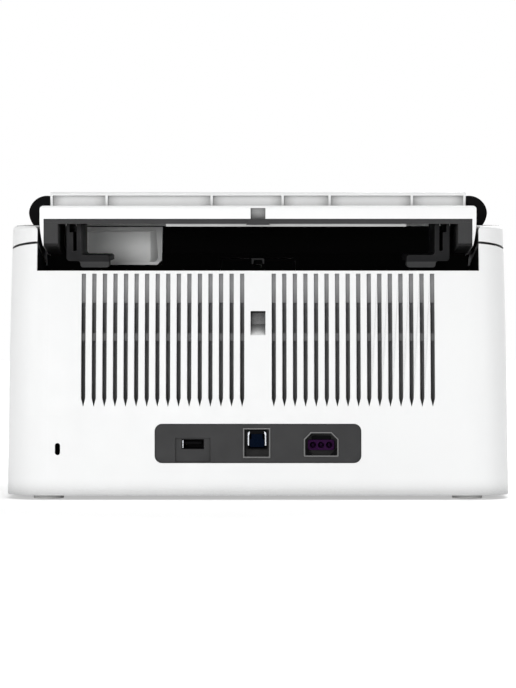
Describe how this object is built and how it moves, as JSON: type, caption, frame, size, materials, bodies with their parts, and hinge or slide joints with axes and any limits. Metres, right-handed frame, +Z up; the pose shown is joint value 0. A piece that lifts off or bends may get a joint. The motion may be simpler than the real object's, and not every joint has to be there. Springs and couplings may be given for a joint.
{
  "type": "sheet-fed document scanner",
  "caption": "Desktop document scanner with a fold-up input tray, a forward-tipping roller hatch, slotted rear shell, port panel and a pull-out output tray.",
  "frame": {"origin": "centre of the footprint, on the surface under the rubber feet", "axes": "+X to the user's right along the paper width, +Y to the rear with the ports, +Z up"},
  "size_m": [0.3, 0.198, 0.1901],
  "materials": {
    "white_shell": "fine satin",
    "black_plastic": "fine texture",
    "cheek_black": "satin",
    "dark_plastic": "matt",
    "pale_grey": "satin",
    "panel_gloss": "gloss",
    "button_grey": "satin",
    "tray_grey": "matt",
    "foot_rubber": "matt",
    "roller_rubber": "ground",
    "gear_plastic": "natural",
    "frame_steel": "zinc",
    "socket_steel": "plated",
    "motor_steel": "zinc",
    "inlet_purple": "matt",
    "board_green": "solder mask",
    "sensor_black": "matt",
    "sensor_glass": "clear"
  },
  "bodies": {
    "base": {"rear_cover": "white_shell", "side_cover_right": "white_shell", "side_cover_left": "white_shell", "shoulder_cap_right": "white_shell", "shoulder_cap_left": "white_shell", "bay_liner": "black_plastic", "vent_baffle": "black_plastic", "base_pan": "dark_plastic", "feet": "foot_rubber", "side_frames": "frame_steel", "shaft_bushes": "gear_plastic", "lower_paper_guide": "black_plastic", "rear_sensor": "sensor_black", "rear_sensor_glass": "sensor_glass", "drive_motor": "motor_steel", "port_panel": "dark_plastic", "usb_a_socket": "socket_steel", "usb_b_socket": "socket_steel", "power_inlet": "inlet_purple", "main_board": "board_green", "lock_plate": "frame_steel", "hatch_brackets": "frame_steel"},
    "motor_pinion": {"motor_pinion": "gear_plastic"},
    "idler_gear": {"idler_gear": "gear_plastic"},
    "relay_gear": {"relay_gear": "gear_plastic"},
    "pick_roller": {"pick_shaft": "gear_plastic", "pick_tyre": "roller_rubber"},
    "feed_roller": {"feed_shaft": "gear_plastic", "feed_tyres": "roller_rubber"},
    "exit_roller": {"exit_shaft": "gear_plastic", "exit_tyres": "roller_rubber"},
    "hatch": {"hatch_shell": "white_shell", "hatch_cheek_right": "cheek_black", "hatch_cheek_left": "cheek_black", "hatch_inner_cover": "black_plastic", "control_pocket": "pale_grey", "separation_cover": "black_plastic", "upper_paper_guide": "black_plastic", "front_sensor": "sensor_black", "front_sensor_glass": "sensor_glass", "hatch_under_panel": "black_plastic", "control_panel": "panel_gloss"},
    "separation_roller": {"separation_roller": "roller_rubber"},
    "feed_pinch_rollers": {"feed_pinch_rollers": "roller_rubber"},
    "exit_pinch_rollers": {"exit_pinch_rollers": "roller_rubber"},
    "power_button": {"power_button": "button_grey"},
    "stop_button": {"stop_button": "button_grey"},
    "start_button": {"start_button": "button_grey"},
    "release_button": {"release_button": "button_grey"},
    "input_tray": {"input_tray_lid": "white_shell", "tray_arms": "dark_plastic", "tray_plate": "dark_plastic", "paper_rest": "pale_grey", "rack_cover": "dark_plastic"},
    "guide_right": {"guide_right": "dark_plastic"},
    "guide_left": {"guide_left": "dark_plastic"},
    "guide_pinion": {"guide_pinion": "gear_plastic"},
    "output_tray": {"output_tray": "tray_grey"},
    "output_extension": {"output_extension": "tray_grey"},
    "output_stop": {"output_stop": "tray_grey"}
  },
  "joints": [
    {"name": "feed_spin", "type": "hinge", "parent": "base", "child": "feed_roller", "pos_m": [0, 0.00389, 0.07559], "axis": [1, 0, 0], "continuous": true},
    {"name": "exit_spin", "type": "hinge", "parent": "base", "child": "exit_roller", "pos_m": [0, -0.02055, 0.04649], "axis": [1, 0, 0], "continuous": true},
    {"name": "idler_spin", "type": "hinge", "parent": "base", "child": "idler_gear", "pos_m": [0, 0.00167, 0.05265], "axis": [1, 0, 0], "continuous": true},
    {"name": "motor_spin", "type": "hinge", "parent": "base", "child": "motor_pinion", "pos_m": [0, 0.02272, 0.05265], "axis": [1, 0, 0], "continuous": true},
    {"name": "relay_spin", "type": "hinge", "parent": "base", "child": "relay_gear", "pos_m": [0, 0.0179, 0.07665], "axis": [1, 0, 0], "continuous": true},
    {"name": "pick_spin", "type": "hinge", "parent": "base", "child": "pick_roller", "pos_m": [0, 0.02315, 0.09076], "axis": [1, 0, 0], "continuous": true},
    {"name": "hatch_hinge", "type": "hinge", "parent": "base", "child": "hatch", "pos_m": [0, -0.09, 0.034], "axis": [1, 0, 0], "range_deg": [0, 60]},
    {"name": "separation_spin", "type": "hinge", "parent": "hatch", "child": "separation_roller", "pos_m": [0, 0.00515, 0.10587], "axis": [1, 0, 0], "continuous": true},
    {"name": "feed_pinch_spin", "type": "hinge", "parent": "hatch", "child": "feed_pinch_rollers", "pos_m": [0, -0.00722, 0.08491], "axis": [1, 0, 0], "continuous": true},
    {"name": "exit_pinch_spin", "type": "hinge", "parent": "hatch", "child": "exit_pinch_rollers", "pos_m": [0, -0.03165, 0.05581], "axis": [1, 0, 0], "continuous": true},
    {"name": "power_press", "type": "slide", "parent": "hatch", "child": "power_button", "axis": [0, 0.9705, -0.241], "range_m": [0, 0.0008], "stiffness_N_per_m": 500, "springref_m": -0.001},
    {"name": "stop_press", "type": "slide", "parent": "hatch", "child": "stop_button", "axis": [0, 0.9705, -0.241], "range_m": [0, 0.0008], "stiffness_N_per_m": 500, "springref_m": -0.001},
    {"name": "start_press", "type": "slide", "parent": "hatch", "child": "start_button", "axis": [0, 0.9705, -0.241], "range_m": [0, 0.0008], "stiffness_N_per_m": 500, "springref_m": -0.001},
    {"name": "release_press", "type": "slide", "parent": "hatch", "child": "release_button", "axis": [-1, 0, 0], "range_m": [0, 0.0035], "stiffness_N_per_m": 400, "springref_m": -0.001},
    {"name": "tray_hinge", "type": "hinge", "parent": "base", "child": "input_tray", "pos_m": [0, 0.04, 0.153], "axis": [-1, 0, 0], "range_deg": [0, 125]},
    {"name": "guide_slide", "type": "slide", "parent": "input_tray", "child": "guide_right", "axis": [-1, 0, 0], "range_m": [0, 0.05]},
    {"name": "guide_left_slide", "type": "slide", "parent": "input_tray", "child": "guide_left", "axis": [1, 0, 0], "range_m": [0, 0.05]},
    {"name": "guide_pinion_turn", "type": "hinge", "parent": "input_tray", "child": "guide_pinion", "pos_m": [0, 0.05625, 0.17003], "axis": [0, 0.0546, 0.9985], "range_deg": [0, 358.6]},
    {"name": "output_slide", "type": "slide", "parent": "base", "child": "output_tray", "axis": [0, -1, 0], "range_m": [0, 0.075]},
    {"name": "extension_slide", "type": "slide", "parent": "output_tray", "child": "output_extension", "axis": [0, -1, 0], "range_m": [0, 0.07]},
    {"name": "stop_flip", "type": "hinge", "parent": "output_extension", "child": "output_stop", "pos_m": [0, -0.0961, 0.0187], "axis": [1, 0, 0], "range_deg": [0, 90]}
  ],
  "couplings": [
    {"joint": "exit_spin", "follows": "feed_spin", "ratio": 1},
    {"joint": "idler_spin", "follows": "feed_spin", "ratio": -0.53333},
    {"joint": "motor_spin", "follows": "feed_spin", "ratio": 1.3333},
    {"joint": "relay_spin", "follows": "feed_spin", "ratio": -1.3333},
    {"joint": "pick_spin", "follows": "feed_spin", "ratio": 0.88889},
    {"joint": "guide_left_slide", "follows": "guide_slide", "ratio": 1},
    {"joint": "guide_pinion_turn", "follows": "guide_slide", "rad_per_m": 125}
  ]
}
